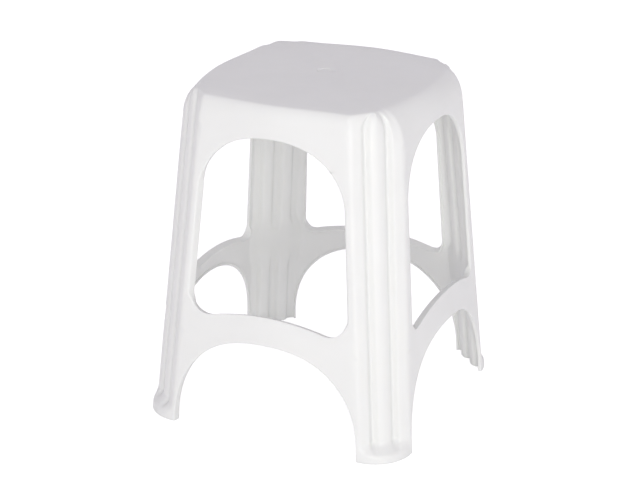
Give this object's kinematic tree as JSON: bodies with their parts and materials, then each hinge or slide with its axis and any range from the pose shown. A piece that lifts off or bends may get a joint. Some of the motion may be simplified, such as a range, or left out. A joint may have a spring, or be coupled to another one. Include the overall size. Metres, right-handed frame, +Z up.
{
  "type": "stacking stool",
  "caption": "Square plastic stacking stool moulded in one piece, with a flat seat, arched windows in leaning walls and fluted corner legs.",
  "frame": {"origin": "on the floor, under the middle of the seat", "axes": "+Z up from the floor to the seat, X and Y square to the four walls, the wall that faces the picture's left half has its outside towards -Y"},
  "size_m": [0.379, 0.379, 0.45],
  "materials": {
    "shell_plastic": "satin moulded polypropylene"
  },
  "bodies": {
    "root": {"stool_shell": "shell_plastic"}
  },
  "joints": []
}
